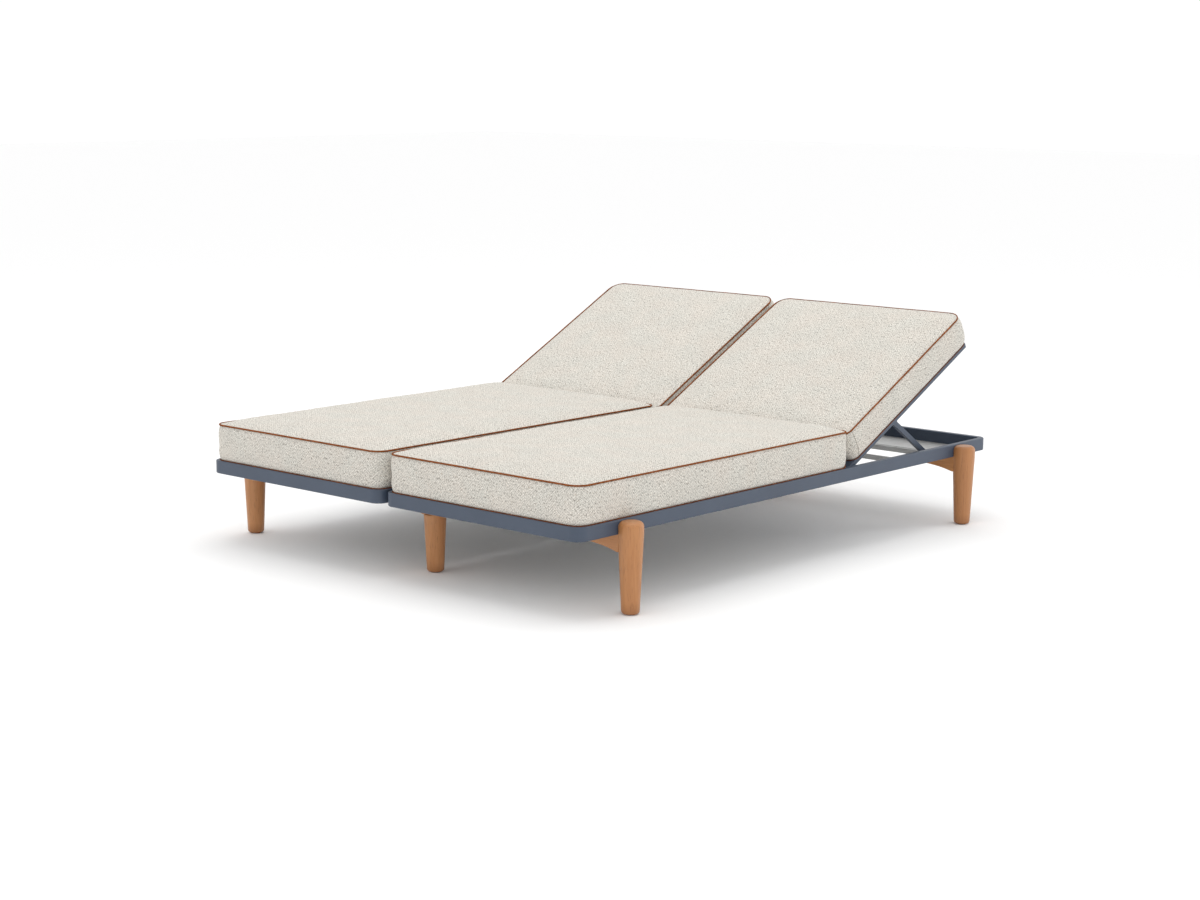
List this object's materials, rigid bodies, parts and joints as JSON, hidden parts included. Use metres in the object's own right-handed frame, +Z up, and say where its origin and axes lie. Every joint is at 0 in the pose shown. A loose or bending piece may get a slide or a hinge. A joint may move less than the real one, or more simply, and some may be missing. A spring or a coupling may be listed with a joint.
{
  "type": "double chaise lounger",
  "caption": "Double outdoor chaise lounger: joined metal tray frames on turned wooden legs, piped box cushions, and folding backs propped by a bail in notched racks.",
  "frame": {"origin": "on the floor under the middle of the outline", "axes": "+X across the lounger, +Y towards the head end, +Z up"},
  "size_m": [1.629, 2, 0.6759],
  "materials": {
    "frame_paint": "slate blue powder coat on aluminium tube, fine satin texture",
    "plate_metal": "plain mill-finish aluminium plate, brushed",
    "leg_wood": "oiled teak-coloured hardwood, turned and sanded",
    "cushion_fabric": "oat melange outdoor fabric with a fine herringbone weave",
    "cushion_piping": "rust-orange corded piping",
    "fastener_steel": "plain stainless steel",
    "glide_plastic": "black glide"
  },
  "bodies": {
    "root": {"right_foot_rail": "frame_paint", "right_head_rail": "frame_paint", "right_outer_side_rail": "frame_paint", "right_inner_side_rail": "frame_paint", "right_foot_cross_plate": "plate_metal", "right_head_cross_plate": "plate_metal", "right_seat_slats": "frame_paint", "right_racks": "frame_paint", "right_rack_tie_bars": "plate_metal", "right_hinge_brackets": "frame_paint", "right_hinge_pins": "fastener_steel", "right_seat_cushion": "cushion_fabric", "left_foot_rail": "frame_paint", "left_head_rail": "frame_paint", "left_outer_side_rail": "frame_paint", "left_inner_side_rail": "frame_paint", "left_foot_cross_plate": "plate_metal", "left_head_cross_plate": "plate_metal", "left_seat_slats": "frame_paint", "left_racks": "frame_paint", "left_rack_tie_bars": "plate_metal", "left_hinge_brackets": "frame_paint", "left_hinge_pins": "fastener_steel", "left_seat_cushion": "cushion_fabric", "front_right_leg": "leg_wood", "front_left_leg": "leg_wood", "front_middle_leg": "leg_wood", "front_right_arm": "leg_wood", "front_left_arm": "leg_wood", "front_middle_saddle": "leg_wood", "rear_right_leg": "leg_wood", "rear_left_leg": "leg_wood", "rear_middle_leg": "leg_wood", "rear_right_arm": "leg_wood", "rear_left_arm": "leg_wood", "rear_middle_saddle": "leg_wood", "foot_glides": "glide_plastic", "leg_bolts": "fastener_steel", "frame_screws": "fastener_steel", "link_screws": "fastener_steel", "frame_link_plates": "plate_metal"},
    "right_back": {"right_back_outer_bar": "frame_paint", "right_back_inner_bar": "frame_paint", "right_back_cross_bars": "frame_paint", "right_back_slats": "frame_paint", "right_bail_lugs": "frame_paint", "right_back_cushion": "cushion_fabric"},
    "right_bail": {"right_bail_axle": "frame_paint", "right_outer_strut": "frame_paint", "right_inner_strut": "frame_paint"},
    "left_back": {"left_back_outer_bar": "frame_paint", "left_back_inner_bar": "frame_paint", "left_back_cross_bars": "frame_paint", "left_back_slats": "frame_paint", "left_bail_lugs": "frame_paint", "left_back_cushion": "cushion_fabric"},
    "left_bail": {"left_bail_axle": "frame_paint", "left_outer_strut": "frame_paint", "left_inner_strut": "frame_paint"}
  },
  "joints": [
    {"name": "right_back_recline", "type": "hinge", "parent": "root", "child": "right_back", "pos_m": [0.384, 0.257, 0.2525], "axis": [1, 0, 0], "range_deg": [-27, 18]},
    {"name": "right_bail_swing", "type": "hinge", "parent": "right_back", "child": "right_bail", "pos_m": [0.384, 0.51888, 0.36629], "axis": [1, 0, 0], "range_deg": [-41, 61.25]},
    {"name": "left_back_recline", "type": "hinge", "parent": "root", "child": "left_back", "pos_m": [-0.384, 0.257, 0.2525], "axis": [1, 0, 0], "range_deg": [-27, 18]},
    {"name": "left_bail_swing", "type": "hinge", "parent": "left_back", "child": "left_bail", "pos_m": [-0.384, 0.51888, 0.36629], "axis": [1, 0, 0], "range_deg": [-41, 61.25]}
  ],
  "couplings": [
    {"joint": "right_bail_swing", "follows": "right_back_recline", "ratio": -2.25},
    {"joint": "left_bail_swing", "follows": "left_back_recline", "ratio": -2.25}
  ]
}
